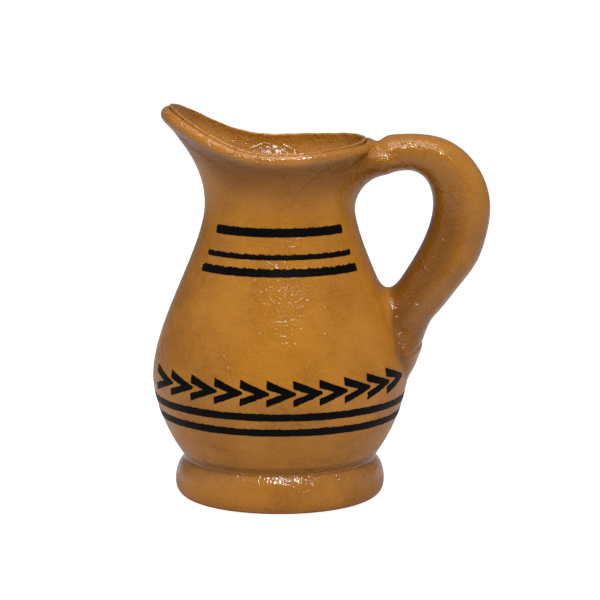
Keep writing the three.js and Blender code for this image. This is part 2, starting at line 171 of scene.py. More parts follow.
# Dents, and swells with a minus, on the outer side of the handle: depth, place and reach, and how square
# one is. The places of the saddle and the crown are along X, the others along Z.
SADDLE = (1.9, 37, 2.6)
CROWN = (-1.1, 64, 11)
ELBOW = (-1.2, 90, 9)
WAIST = (0.7, 66.5, 4.5)
HEEL = (-1.35, 52.7, 6.5, 4)

# The fold where the tail was pressed down: a point on it, its slope, its depth and half width, and the
# heights and the places along X between which it sets in.
FOLD_POINT = (52.8, 58.6)
FOLD_SLOPE = 0.67
FOLD = (0.36, 0, 0.7)
FOLD_SETS_IN = ((66, 60), (45, 48))

# Painting: how far the films go into the clay, their cells across and up, and the wavelengths of a brush
# stroke's rough edge.
PAINT_ROOT = -0.15
PAINT_CELLS = (1.2, 1.6)
BRUSH_WAVES = (0.8, 1.2, 1.9, 3.1, 6)

# The painted sides: name, the angle that each faces, and which way its X runs round the jug.
FLANKS = (("front", 0, 1), ("back", math.pi, -1))

# Arrowheads: their number, height over the belly's widest line, own height and, in degrees, the turn that
# one takes, the place of the middle one and the pitch. Turn and pitch grow towards the ends of the row, and
# the end by the handle climbs. Strokes are the widths of the lower and the upper one, the notch is where
# they meet, roughness is above and below, and seeds are the first number and the step between flanks.
CHEVRONS = 11
CHEVRON_ABOVE_BELLY = 2.15
CHEVRON_HEIGHT = 10
CHEVRON_TURN = 13
CHEVRON_START = 1
CHEVRON_PITCH = 11.8
CHEVRON_DRIFT = 0.055
CHEVRON_SPREAD = 0.0415
CHEVRON_END_GROWTH = 0.16
CHEVRON_END_CLIMB = 0.7
CHEVRON_BLUNT_TIP = 0.45
CHEVRON_STROKES = (2.8, 3.2)
CHEVRON_NOTCH = (0.52, -0.1)
CHEVRON_CORNER = 0.28
CHEVRON_ROUGHNESS = (0.1, 0.06)
CHEVRON_SEEDS = (100, 50)

# The belly rings: name and distance below the belly's widest line, their width, the roughness of the lower
# and the upper edge, and the numbers of waves round the jug that it is made of.
RINGS = (("upper_belly_ring", 6.9), ("lower_belly_ring", 13))
RING_WIDTH = 2.85
RING_ROUGHNESS = (0.045, 0.075)
RING_WAVES = (5, 13, 31, 67, 113, 181, 257, 311)
RING_COLUMNS = 720
RING_SEED = 40

# The neck stripes: name, distance below the neck's narrowest line, width, half turn in degrees and the
# roughness of the upper edge. Then how far their ends slant, and how round their corners are.
STRIPES = (
    ("upper", 7.1, 3.2, 52.4, 0.15), ("middle", 15.9, 1.9, 55.5, 0.24), ("lower", 21.4, 2.9, 57, 0.3))
STRIPE_SLANT = 0.3
STRIPE_CORNER = 0.8
STRIPE_LOWER_ROUGHNESS = 0.07
STRIPE_SEEDS = (7, 10)


def length(name, description, metres):
    return bpy.props.FloatProperty(
        name=name, description=description, default=metres, min=0, precision=4, unit="LENGTH",
        subtype="DISTANCE")


def linear(code):
    """An sRGB hex colour as linear red, green and blue."""
    parts = [int(code[i:i + 2], 16) / 255 for i in (1, 3, 5)]
    return [c / 12.92 if c <= 0.04045 else ((c + 0.055) / 1.055) ** 2.4 for c in parts]


def colour(name, description, code):
    return bpy.props.FloatVectorProperty(
        name=name, description=description, default=linear(code), size=3, min=0, max=1, subtype="COLOR")


def lamp_power(name, description, watts):
    return bpy.props.FloatProperty(name=name, description=description, default=watts, min=0, unit="POWER")


class ClayJugSizes(bpy.types.PropertyGroup):
    """The jug's sizes; the outermost ones are read from the frame."""

    foot_radius: length("Foot radius", "Widest radius of the foot coil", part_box("foot_ring")[1].y)
    crease_height: length("Crease height", "Height of the crease above the foot coil", 0.0154)
    crease_radius: length("Crease radius", "Radius of the wall behind the foot coil", 0.0361)
    belly_height: length("Belly height", "Height of the belly's widest line", 0.0463)
    belly_radius: length("Belly radius", "Widest radius of the belly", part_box("belly_wall")[1].y)
    neck_height: length("Neck height", "Height of the narrowest line of the neck", 0.1124)
    neck_radius: length("Neck radius", "Narrowest radius of the neck", 0.0284)
    rim_height: length("Rim height", "Height of the rim at the front and back", 0.135)
    handle_side_rise: length("Rim rise at the handle", "How far the rim climbs towards the handle", 0.0025)
    spout_height: length("Spout height", "Height of the spout's tip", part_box("neck_wall")[1].z)
    spout_radius: length("Spout radius", "How far the rolled spout reaches out", 0.0458)
    wall: length("Wall", "Thickness of the thrown wall", 0.0042)
    floor: length("Floor", "Thickness of the floor", 0.0055)
    lip: length("Lip", "Thickness of the thin edge inside the roll", 0.0013)
    handle_reach: length("Handle reach", "How far the handle reaches out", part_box("handle")[1].x)
    film: length("Paint film", "How far the painting stands on the clay", 0.0001)


class ClayJugColours(bpy.types.PropertyGroup):
    """The jug's colours."""

    clay: colour("Clay", "Main colour of the varnished clay", "#BC7A22")
    # Painted shade: the darker colour mixed in under the roll, in the crease and on the handle, most inside
    # its loop.
    clay_painted_shade: colour("Pooled varnish", "Colour where the varnish gathered thickest", "#85500C")
    clay_deep: colour("Deep clay", "Colour of the darker clouds", "#9B5D0C")
    grain: colour("Sand", "Colour of the palest grains", "#DAA040")
    slip: colour("Black slip", "Colour of the painting", "#050506")
    slip_worn: colour("Worn slip", "Colour where the slip is thin", "#1A120A")
    floor: colour("Studio floor", "Colour of the floor that the jug stands on", "#F4F4F4")
    floor_bounce: colour("Floor bounce", "How pale the floor is to the light that it sends back", "#E2E2E2")


class ClayJugStage(bpy.types.PropertyGroup):
    """The studio: camera and lamps."""

    camera_distance: length("Camera distance", "From the camera to the jug's middle", 1.2)
    camera_height: length("Aim height", "Height that the camera and the lamps look at", 0.075)
    camera_aside: length("Camera aside", "How far right of the jug's axis the camera stands", 0.0077)
    lens: bpy.props.FloatProperty(
        name="Lens", description="Focal length on a 36 mm sensor", default=189.5, min=1, unit="CAMERA")
    elevation: bpy.props.FloatProperty(
        name="Elevation", description="How far the camera looks down", default=math.radians(10.09),
        subtype="ANGLE")
    top_lamp: lamp_power("Top lamp", "Power of the soft box overhead", 3.7)
    front_lamp: lamp_power("Front lamp", "Power of the soft box above the camera", 6.2)
    right_lamp: lamp_power("Right lamp", "Power of the soft box on the right", 1.9)
    left_lamp: lamp_power("Left lamp", "Power of the soft box on the left", 2.4)
    surround: bpy.props.FloatProperty(
        name="Surround", description="Strength of the light from all round", default=0.18, min=0)


def millimetres(group):
    """The lengths of a property group in millimetres."""
    return SimpleNamespace(**{name: getattr(group, name) / MM for name in group.__annotations__})


def mix(a, b, t):
    return a + (b - a) * t


def smooth(t):
    t = np.clip(t, 0, 1)
    return t * t * (3 - 2 * t)


def ramp(at, start, end):
    """Nought at the start and one at the end, eased between them."""
    return smooth((at - start) / (end - start))


def hump(at, depth, place, reach, power=2):
    """A depth that fades away round a place, more squarely with a higher power."""
    return depth * np.exp(-((at - place) / reach) ** power)


def soft_min(a, b, reach):
    """The lower of two distances, rounded where they differ by less than reach."""
    h = np.clip(reach - np.abs(a - b), 0, None) / reach
    return np.minimum(a, b) - h * h * reach / 4


def bezier(a, b, c, d, count=80):
    t = np.linspace(0, 1, count + 1)[:, None]
    a, b, c, d = (np.array(p, float) for p in (a, b, c, d))
    return (1 - t) ** 3 * a + 3 * (1 - t) ** 2 * t * b + 3 * (1 - t) * t * t * c + t ** 3 * d


def at_tip(angle, power):
    """One at the spout's tip and nought a quarter turn away; with the angle's sign turned, at the handle."""
    return np.clip(-np.sin(angle), 0, 1) ** power


def polar(x, y):
    """Radius and angle round the jug."""
    return np.hypot(x, y), np.arctan2(x, -y)


def round_jug(radius, angle, height):
    """Points at a radius, angle and height, with the last axis x, y, z."""
    radius, angle, height = np.broadcast_arrays(radius, angle, height)
    return np.stack([radius * np.sin(angle), -radius * np.cos(angle), height], -1)


class Outline:
    """The jug's turned form in mm: the skin by angle and height, the inside, and the rim that trims them."""

    def __init__(self, size):
        self.size = s = size
        self.angles = np.arange(COLUMNS) * 2 * math.pi / COLUMNS
        rise, shoulder = s.belly_height - s.crease_height, s.neck_height - s.belly_height
        swell = s.belly_radius - s.crease_radius
        flare_top = s.spout_height - ROLL_DROP
        flare_rise = flare_top - s.neck_height
        along = np.array([math.cos(FLARE_ANGLE), math.sin(FLARE_ANGLE)])
        flare_end = np.array([s.spout_radius, flare_top])
        belly = bezier(
            (s.crease_radius, s.crease_height),
            (s.crease_radius + FOOT_FLARE_OUT * swell, s.crease_height + FOOT_FLARE_UP * rise),
            (s.belly_radius, s.belly_height - BELLY_FULL_BELOW * rise), (s.belly_radius, s.belly_height))
        upper = bezier(
            (s.belly_radius, s.belly_height), (s.belly_radius, s.belly_height + BELLY_FULL_ABOVE * shoulder),
            (s.neck_radius, s.neck_height - NECK_FULL_BELOW * shoulder), (s.neck_radius, s.neck_height))
        flare = bezier(
            (s.neck_radius, s.neck_height), (s.neck_radius, s.neck_height + NECK_FULL_ABOVE * flare_rise),
            flare_end - FLARE_FULL * flare_rise * along, flare_end)
        beyond = flare_end + FLARE_OVERRUN * along
        below = np.array([[s.crease_radius, -1], [s.crease_radius, s.crease_height - 0.5]])
        self.wall_line = np.vstack([below, belly, upper[1:], flare[1:], beyond])
        along_line = np.gradient(self.wall_line, axis=0)
        along_line /= np.linalg.norm(along_line, axis=1)[:, None]
        inwards = np.stack([-along_line[:, 1], along_line[:, 0]], 1)
        self.inside_line = self.wall_line + s.wall * inwards
        self.heights = np.arange(0, beyond[1], OUTLINE_STEP)
        self.radii = self.foot_and_wall(self.heights)
        self.slopes = np.gradient(self.radii, self.heights)

    def wall_radius(self, z):
        """The thrown wall by height, as if there were no foot coil and no roll."""
        return np.interp(z, self.wall_line[:, 1], self.wall_line[:, 0])

    def foot_and_wall(self, z):
        """The outline with the foot coil in front of the wall, and the crease between them pressed soft."""
        s = self.size
        radius = self.wall_radius(z)
        low = np.sqrt(np.clip(z / FOOT_WIDEST_HEIGHT, 0, 1))
        bottom = s.foot_radius - GROUND_EDGE_INSET * (1 - low) ** 2
        top = bezier(
            (s.foot_radius, FOOT_WIDEST_HEIGHT),
            (s.foot_radius, mix(FOOT_WIDEST_HEIGHT, s.crease_height, FOOT_TOP_FULL)),
            (s.crease_radius + 1.5 * CREASE_LAP, s.crease_height - 1),
            (s.crease_radius + CREASE_LAP, s.crease_height))
        coil = np.where(z < FOOT_WIDEST_HEIGHT, bottom, np.interp(z, top[:, 1], top[:, 0]))
        radius = np.where(z < s.crease_height, coil, radius)
        reach = np.arange(-CREASE_REACH, CREASE_REACH + 0.01, OUTLINE_STEP)
        weights = np.exp(-0.5 * (reach / CREASE_SOFTNESS) ** 2)
        pressed = np.convolve(np.pad(radius, len(reach) // 2, mode="edge"), weights / weights.sum(), "valid")
        near = smooth(1.6 - np.abs(z - s.crease_height) / CREASE_REACH)
        return mix(radius, pressed, near)

    def lip_height(self, angle):
        s = self.size
        climb = (s.spout_height - s.rim_height) * at_tip(angle, SPOUT_SHARPNESS)
        return s.rim_height + climb + s.handle_side_rise * at_tip(-angle, HANDLE_SIDE_SHARPNESS)

    def lip_radius(self, angle):
        below = self.lip_height(angle) - ROLL_DROP
        reach = ROLL_REACH + SPOUT_LIP_INSET * at_tip(angle, TIP_SHARPNESS)
        return self.wall_radius(below) - reach

    def hand(self, angle, z):
        """Uneven pressure of the hand: a slow sway and faint throwing rings, always a little inwards."""
        depth, spacing = THROWING_RINGS
        sway = 2 + np.sin(2 * angle + z / 29 + 0.7) + np.sin(3 * angle - z / 17 + 2)
        rings = 1 + np.sin(2 * math.pi * z / spacing + 0.9 * np.sin(angle + z / 23))
        return -SWAY_DEPTH * sway - depth * rings

    def skin(self, angle, z):
        """Outer radius of the finished clay below the roll, with the slight hollow pressed under it."""
        hollow = hump(self.lip_height(angle) - z, *HOLLOW_UNDER_ROLL)
        return np.interp(z, self.heights, self.radii) + self.hand(angle, z) - hollow

    def steepness(self, z):
        """Sine of the skin's slope above the level, which turns a radial gap into a true one."""
        return 1 / np.sqrt(1 + np.interp(z, self.heights, self.slopes) ** 2)

    def roll_top(self, angle):
        """The roll's upper side: nearly level with the lip at the front and back, lowest at the handle."""
        lowered = (LIP_STAND_HANDLE - LIP_STAND) * at_tip(-angle, TIP_SHARPNESS)
        return self.lip_height(angle) - mix(LIP_STAND_FRONT, LIP_STAND, np.sin(angle) ** 4) - lowered

    def roll_radius(self, angle):
        return ROLL_RADIUS + SPOUT_ROLL_SWELL * at_tip(angle, TIP_SHARPNESS)

    def roll(self, angle):
        """Where the roll leaves the flare, bettered from a first guess, and the centre of its round."""
        top, radius = self.roll_top(angle), self.roll_radius(angle)
        leave = top - 1.67 * radius
        for _ in range(4):
            rise = self.steepness(leave)
            leave = top - radius * (1 + np.sqrt(1 - rise ** 2))
        rise = self.steepness(leave)
        run = np.sqrt(1 - rise ** 2)
        return leave, self.skin(angle, leave) - radius * rise, leave + radius * run

    def inside(self, angle, z):
        """Inner radius of the wall, thinned towards the lip, with the ridges that fingers left."""
        top = self.lip_height(angle)
        deep = np.interp(z, self.inside_line[:, 1], self.inside_line[:, 0])
        ridges = sum(
            depth * np.sin(2 * math.pi * z / spacing + turn * angle)
            for depth, spacing, turn in FINGER_RIDGES)
        thin = self.lip_radius(angle) - self.size.lip / 2
        return mix(thin, deep, smooth((top - z) / LIP_TAPER)) + ridges * smooth((top - z - 2) / 8)

    def shade_and_wear(self, points):
        """Painted shade under the roll and by the crease, and wear: the varnish is dull where held or stood
        on.
        """
        x, y, z = points.T
        r, angle = polar(x, y)
        below = self.lip_height(angle) - z
        # Painted shade: darker under the roll and in the crease, on the outside only.
        shade_under_roll = ramp(below, *SHADE_STARTS_BELOW_LIP) * (1 - ramp(below, *SHADE_FADES_BELOW_LIP))
        outside = smooth((r - self.inside(angle, z)) / self.size.wall)
        over_crease = z - self.size.crease_height
        crease = sum(hump(over_crease, *shade_band) for shade_band in CREASE_SHADE)
        held = ramp(below, *HELD_BELOW_LIP) * ramp(over_crease, *HELD_OVER_CREASE)
        stood = ramp(z, *STOOD_OVER_GROUND)
        return (shade_under_roll + crease) * outside, np.maximum(held, stood) * outside

    def rows(self, angle, heights):
        """Rows of skin at these heights."""
        return [(self.skin(angle, z), z) for z in heights]

    def dip(self, angle, seam, reaches):
        """Rows of skin that go past a seam, up or down, and sink under the neighbouring piece."""
        return [(self.skin(angle, seam + past) - sink(abs(past)), seam + past) for past in reaches]


def sink(past):
    """How deep a piece dips under its neighbour past the seam that they share."""
    return 0.03 * smooth(past) + 0.7 * smooth((past - 1) / 2)


def loop_faces(rows, columns):
    """Quads of a sheet that closes on itself both ways."""
    i, j = np.meshgrid(np.arange(rows), np.arange(columns), indexing="ij")
    down, right = (i + 1) % rows, (j + 1) % columns
    corners = [i * columns + j, i * columns + right, down * columns + right, down * columns + j]
    return np.stack(corners, -1).reshape(-1, 4)


def make_piece(name, points, faces, material, nodes, sharp=None, shade_and_wear=None):
    """A mesh object in metres that rides on the body and stands for CAD nodes.

    The function shade_and_wear says how deep the painted shade lies at points in mm, and how far hands have
    dulled the varnish.
    """
    mesh = bpy.data.meshes.new(name)
    mesh.from_pydata((np.asarray(points) * MM).tolist(), [], [list(map(int, f)) for f in faces])
    work = bmesh.new()
    work.from_mesh(mesh)
    bmesh.ops.remove_doubles(work, verts=work.verts[:], dist=1e-7)
    bmesh.ops.recalc_face_normals(work, faces=work.faces[:])
    work.to_mesh(mesh)
    work.free()
    mesh.shade_smooth()
    if sharp:
        mesh.set_sharp_from_angle(angle=math.radians(sharp))
    mesh.materials.append(material)
    if shade_and_wear:
        places = np.array([v.co for v in mesh.vertices]) / MM
        for layer, amounts in zip(("varnish_depth", "varnish_wear"), shade_and_wear(places)):
            held = mesh.attributes.new(layer, "FLOAT", "POINT")
            held.data.foreach_set("value", amounts.astype(np.float32))
    piece = bpy.data.objects.new(name, mesh)
    bpy.context.collection.objects.link(piece)
    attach(piece, BODY)
    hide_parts(*nodes)
    return piece


def turned_piece(name, profile, outline, material, nodes):
    """Turns a closed profile, a list of radius and height by angle, round the axis."""
    points = [round_jug(r, outline.angles, z) for r, z in profile]
    faces = loop_faces(len(points), COLUMNS)
    return make_piece(name, np.concatenate(points), faces, material, nodes, shade_and_wear=outline.shade_and_wear)


def outline_of(context):
    return Outline(millimetres(context.scene.clay_jug_sizes))


# The thrown body.


class CLAYJUG_OT_floor(bpy.types.Operator):
    """Beats the floor: a disc with a spiral left by the fingers and a hollowed underside"""

    bl_idname = "clay_jug.floor"
    bl_label = "Floor"

    def execute(self, context):
        outline = outline_of(context)
        s = outline.size
        edge = s.crease_radius - s.wall - FLOOR_GAP
        profile = [(0, UNDERSIDE_HOLLOW)]
        for r in np.linspace(2, edge, FLOOR_ROWS[0]):
            profile.append((r, UNDERSIDE_HOLLOW * smooth((UNDERSIDE_RADIUS - r) / 2)))
        depth, spacing = FLOOR_SPIRAL
        for r in np.linspace(edge, 0, FLOOR_ROWS[1]):
            spiral = depth * np.sin(2 * math.pi * r / spacing - outline.angles) * smooth(r / 5)
            profile.append((r, s.floor - depth + spiral * smooth((edge - r) / 4)))
        turned_piece("floor_disc", profile, outline, clay_material(context), ["base_slab"])
        return {"FINISHED"}


class CLAYJUG_OT_wall(bpy.types.Operator):
    """Throws the wall: belly, shoulder, neck and flare, up to the thin lip and down the inside"""

    bl_idname = "clay_jug.wall"
    bl_label = "Wall"

    def execute(self, context):
        outline = outline_of(context)
        s, angle = outline.size, outline.angles
        top, lip, half = outline.lip_height(angle), outline.lip_radius(angle), outline.size.lip / 2
        wave = LIP_WAVE * (np.sin(9 * angle + 1) + np.sin(23 * angle)) - 2 * LIP_WAVE
        inner_foot = s.crease_radius - s.wall
        profile = [(inner_foot, 0), (s.foot_radius - GROUND_EDGE_INSET, 0.02)]
        profile += [(s.crease_radius - 0.3, z) for z in np.linspace(1, s.crease_height - 4, 4)]
        profile += outline.dip(angle, s.crease_height, [-past for past in (3, *SEAM_DIPS[::-1])])
        seam = top - ROLL_HEIGHT
        heights = [mix(s.crease_height, seam, t) for t in np.linspace(0, 1, WALL_ROWS[0])]
        profile += outline.rows(angle, heights)
        profile += outline.dip(angle, seam, (*SEAM_DIPS, 3, 4))
        profile += [(lip + half, top - 2.4), (lip + half, top - 1.2)]
        for turn in np.linspace(0, math.pi, ROUND_ROWS):
            profile.append((lip + half * np.cos(turn), top + wave - half + half * np.sin(turn)))
        for t in np.linspace(0, 1, WALL_ROWS[1]) ** 1.3:
            z = mix(top - 1.2, s.floor + FLOOR_FILLET, t)
            profile.append((outline.inside(angle, z), z))
        last = outline.inside(angle, s.floor + FLOOR_FILLET)
        for turn in np.linspace(0, math.pi / 2, ROUND_ROWS)[1:]:
            r = last - FLOOR_FILLET + FLOOR_FILLET * math.cos(turn)
            profile.append((r, s.floor + FLOOR_FILLET - (FLOOR_FILLET + 0.05) * math.sin(turn)))
        profile += [(inner_foot - 6, s.floor - 1.5), (inner_foot, s.floor - 2)]
        turned_piece(
            "thrown_wall", profile, outline, clay_material(context), ["belly_wall", "neck_wall"])
        return {"FINISHED"}


class CLAYJUG_OT_foot(bpy.types.Operator):
    """Lutes the fat foot coil round the bottom of the wall"""

    bl_idname = "clay_jug.foot"
    bl_label = "Foot coil"

    def execute(self, context):
        outline = outline_of(context)
        s, angle = outline.size, outline.angles
        inner = s.crease_radius + 0.3
        profile = [(inner, 1)]
        under = [FOOT_WIDEST_HEIGHT * t * t for t in np.linspace(0, 1, FOOT_ROWS[0])]
        profile += outline.rows(angle, under)
        profile += outline.rows(angle, np.linspace(FOOT_WIDEST_HEIGHT, s.crease_height, FOOT_ROWS[1])[1:])
        profile += outline.dip(angle, s.crease_height, (*SEAM_DIPS, 2.6))
        profile += [(inner, s.crease_height - 1), (inner, 4)]
        turned_piece("foot_coil", profile, outline, clay_material(context), ["foot_ring"])
        return {"FINISHED"}


class CLAYJUG_OT_rim(bpy.types.Operator):
    """Presses the roll round the flare, with a narrow groove between it and the lip"""

    bl_idname = "clay_jug.rim"
    bl_label = "Rim roll"

    def execute(self, context):
        outline = outline_of(context)
        angle = outline.angles
        top, lip = outline.lip_height(angle), outline.lip_radius(angle)
        seam = top - ROLL_HEIGHT
        leave, centre_r, centre_z = outline.roll(angle)
        radius = outline.roll_radius(angle)
        profile = outline.dip(angle, seam, [-past for past in (2.6, *SEAM_DIPS[::-1])])
        profile += outline.rows(angle, [mix(seam, leave, t) for t in np.linspace(0, 1, ROLL_ROWS)])
        start = np.arctan2(leave - centre_z, outline.skin(angle, leave) - centre_r)
        for t in np.linspace(0, 1, ROLL_ROWS)[1:]:
            turn = mix(start, math.pi / 2, t)
            profile.append((centre_r + radius * np.cos(turn), centre_z + radius * np.sin(turn)))
        groove = lip + outline.size.lip / 2
        ledge = outline.roll_top(angle)
        depth = GROOVE_DEPTH * mix(0.05, 1, np.sin(angle) ** 4)
        for t in (0.3, 0.65, 1):
            profile.append((mix(centre_r, groove + 0.5, t), ledge))
        for out, share in ((0.32, 0.2), (0.18, 0.6), (0.1, 1)):
            profile.append((groove + out, ledge - share * depth))
        profile.append((groove + 0.1, ledge - 2))
        profile.append((outline.skin(angle, seam + 1) - 1.6, seam + 1.2))
        turned_piece("rim_roll", profile, outline, clay_material(context), ["rim_coil"])
        return {"FINISHED"}


# The handle.


def surface_net(value):
    """A closed mesh on the zero level of a sampled field, in grid steps: a point in each crossed cell."""
    shape = np.array(value.shape) - 1
    total, count = np.zeros((*shape, 3)), np.zeros(shape)
    crossed = []
    for axis in range(3):
        low = np.take(value, range(shape[axis]), axis)
        high = np.take(value, range(1, shape[axis] + 1), axis)
        cut = (low < 0) != (high < 0)
        crossed.append((cut, low < 0))
        at = np.where(cut, low / np.where(cut, low - high, 1), 0)
        others = [k for k in range(3) if k != axis]
        for steps in ((0, 0), (0, 1), (1, 0), (1, 1)):
            pick = [slice(None)] * 3
            for other, step in zip(others, steps):
                pick[other] = slice(step, step + shape[other])
            here = cut[tuple(pick)]
            count += here
            total[..., axis] += at[tuple(pick)]
            for other, step in zip(others, steps):
                total[..., other] += step * here
    cells = np.argwhere(count > 0)
    number = np.full(tuple(shape), -1)
    number[tuple(cells.T)] = np.arange(len(cells))
    points = cells + total[tuple(cells.T)] / count[tuple(cells.T)][:, None]
    quads = []
    for axis, (cut, inside) in enumerate(crossed):
        others = [(axis + 1) % 3, (axis + 2) % 3]
        edge = np.argwhere(cut)
        edge = edge[(edge[:, others[0]] > 0) & (edge[:, others[1]] > 0)]
        edge = edge[(edge[:, others[0]] < shape[others[0]]) & (edge[:, others[1]] < shape[others[1]])]
        ring = []
        for back_a, back_b in ((1, 1), (0, 1), (0, 0), (1, 0)):
            cell = edge.copy()
            cell[:, others[0]] -= back_a
            cell[:, others[1]] -= back_b
            ring.append(number[tuple(cell.T)])
        quad = np.stack(ring, 1)
        flip = ~inside[tuple(edge.T)]
        quad[flip] = quad[flip][:, ::-1]
        quads.append(quad)
    return points, np.concatenate(quads)


class Handle:
    """The pulled bar and its luted ends as one field of distances in mm: negative inside the clay."""

    def __init__(self, outline):
        self.outline = outline
        s = outline.size
        lip_z = s.rim_height + s.handle_side_rise
        root_z = lip_z - ROOT_BELOW_LIP
        root = np.array([outline.wall_radius(root_z) - ROOT_DEPTH, root_z])
        crown = np.array([outline.wall_radius(root_z) + CROWN_OUT, lip_z - CROWN_BELOW_LIP])
        bend = np.array([s.handle_reach - BAR_THICKNESS[2] / 2 - BEND_INSET, crown[1] - BEND_DROP])
        low_z = s.belly_height + LOW_ABOVE_BELLY
        low = np.array([outline.wall_radius(low_z) + LOW_STAND_OFF, low_z])
        tail = np.array([s.belly_radius - TAIL_DEPTH, low_z - TAIL_BELOW_LOW])
        rise, over, fall = crown - root, bend[0] - crown[0], bend[1] - low[1]
        # The points that bend each part stand at shares of its own run and rise, or a little off its ends.
        parts = [
            bezier(root, root + rise * (0.3, 0.5), root + rise * (0.65, 1), crown),
            bezier(crown, crown + (0.56 * over, 0), bend + (0, 0.55 * BEND_DROP), bend),
            bezier(bend, bend - (0, 0.33 * fall), low + (bend - low) * (0.33, 0.245), low),
            bezier(low, low - (2.2, 4), (tail[0] - 0.2, mix(tail[1], low[1], 0.45)), tail),
        ]
        self.path = np.vstack([parts[0]] + [p[1:] for p in parts[1:]])
        self.station = np.linspace(0, 4, len(self.path))
        turn, last = 3 * (len(self.path) - 1) // 4, len(self.path) - 1
        self.strands = ((0, turn), (turn, last))
        along = np.gradient(self.path, axis=0)
        along /= np.linalg.norm(along, axis=1)[:, None]
        self.out = np.stack([-along[:, 1], along[:, 0]], 1)

    def sizes(self, station):
        """Thickness in the plane of the loop and width across it, at a station of the path."""
        down = np.clip(station - 3, 0, 1)
        from_ = np.clip(np.floor(station), 0, 2).astype(int)
        t = smooth(station - from_)
        thick, wide = np.array(BAR_THICKNESS), np.array(BAR_WIDTH)
        thickness = mix(thick[from_], thick[from_ + 1], t)
        width = mix(wide[from_], wide[from_ + 1], t)
        spread = mix(wide[3], TAIL_SPREAD, smooth(2 * down))
        tail_width = mix(spread, wide[4], smooth(2 * down - 1))
        tail_thickness = mix(thick[3], thick[4], down ** TAIL_THINNING)
        return np.where(down > 0, tail_thickness, thickness), np.where(down > 0, tail_width, width)

    def nearest(self, flat):
        """For points in the plane of the loop, the nearest points of the bar's path and of the tail's."""
        found = []
        for first, last in self.strands:
            index = np.empty(len(flat), int)
            for start in range(0, len(flat), 10000):
                part = flat[start:start + 10000]
                gap = ((part[:, None] - self.path[None, first:last + 1]) ** 2).sum(2)
                index[start:start + 10000] = first + gap.argmin(1)
            found.append(index)
        return found

    def strand(self, flat, y, nearest, first, last):
        """Distance to one strand of clay, and how far the point lies on its outer side."""
        best = None
        for segment in (np.clip(nearest - 1, first, last - 1), np.clip(nearest, first, last - 1)):
            a, b = self.path[segment], self.path[segment + 1]
            t = np.clip(((flat - a) * (b - a)).sum(1) / ((b - a) ** 2).sum(1), 0, 1)
            offset = flat - (a + (b - a) * t[:, None])
            gap = np.hypot(*offset.T)
            side = (offset * mix(self.out[segment], self.out[segment + 1], t[:, None])).sum(1)
            station = mix(self.station[segment], self.station[segment + 1], t)
            here = np.stack([gap, side, station])
            best = here if best is None else np.where(gap < best[0], here, best)
        gap, side, station = best
        thickness, width = self.sizes(station)
        uneven = 1 - 0.006 * np.sin(5.1 * station + 1) - 0.005 * np.sin(11 * station)
        across, through = np.abs(y) / (width / 2), gap / (thickness * uneven / 2)
        share = (across ** BAR_SQUARENESS + through ** BAR_SQUARENESS) ** (1 / BAR_SQUARENESS)
        return (share - 1) * np.hypot(y, gap) / np.maximum(share, 1e-6), side

    def bar(self, flat, y, nearest):
        """The bar and its tail run together, filled out on the outer side where one turns into the other."""
        (upper, side), (lower, low_side) = (
            self.strand(flat, y, index, *ends) for index, ends in zip(nearest, self.strands))
        side = mix(side, low_side, smooth(0.5 + (upper - lower) / 4))
        return soft_min(upper, lower, 0.01 + 5 * smooth(side / 5)), side

    def body(self, x, y, z):
        """Distance to the turned body, taken as solid, without its lip."""
        outline = self.outline
        r, angle = polar(x, y)
        leave, centre_r, centre_z = outline.roll(angle)
        steep = outline.steepness(np.minimum(z, leave))
        flank = (r - outline.skin(angle, z)) * steep
        rise = outline.steepness(leave)
        run = np.sqrt(1 - rise ** 2)
        past = (r - outline.skin(angle, leave)) * run + (z - leave) * rise
        round_ = np.hypot(r - centre_r, z - centre_z) - outline.roll_radius(angle)
        core = np.maximum(np.maximum(r - centre_r, z - outline.roll_top(angle)), centre_z - 2 - z)
        rolled = np.minimum(round_, core)
        flank = np.maximum(flank, past)
        return soft_min(flank, rolled, np.clip(np.minimum(flank, rolled), 0.01, 6))

    def field(self, points):
        x, y, z = points.T
        flat = points[:, [0, 2]]
        return self.join(x, y, z, *self.bar(flat, y, self.nearest(flat)))

    def shade_and_wear(self, points):
        """Painted shade and wear: the shade lies deeper on the handle, most of all inside the loop and lower
        down.
        """
        y, z = points.T[1:]
        flat = points[:, [0, 2]]
        bar, side = self.bar(flat, y, self.nearest(flat))
        on_bar, inner = ramp(bar, 3, 0), ramp(side, 4.5, -4.5)
        down, tail = ramp(z, *HANDLE_SHADE_DEEPENS), ramp(z, *TAIL_SHADE_DEEPENS)
        # Painted shade on the bar: deeper lower down, inside the loop and on the tail.
        depth = mix(*OUTER_SHADE, down) + mix(*INNER_SHADE, down) * inner + TAIL_SHADE * tail
        depth = np.clip(depth, 0, DEEPEST_SHADE)
        wall_shade, wall_wear = self.outline.shade_and_wear(points)
        return np.maximum(wall_shade * (1 - on_bar), on_bar * depth), mix(wall_wear, HANDLE_WEAR, on_bar)

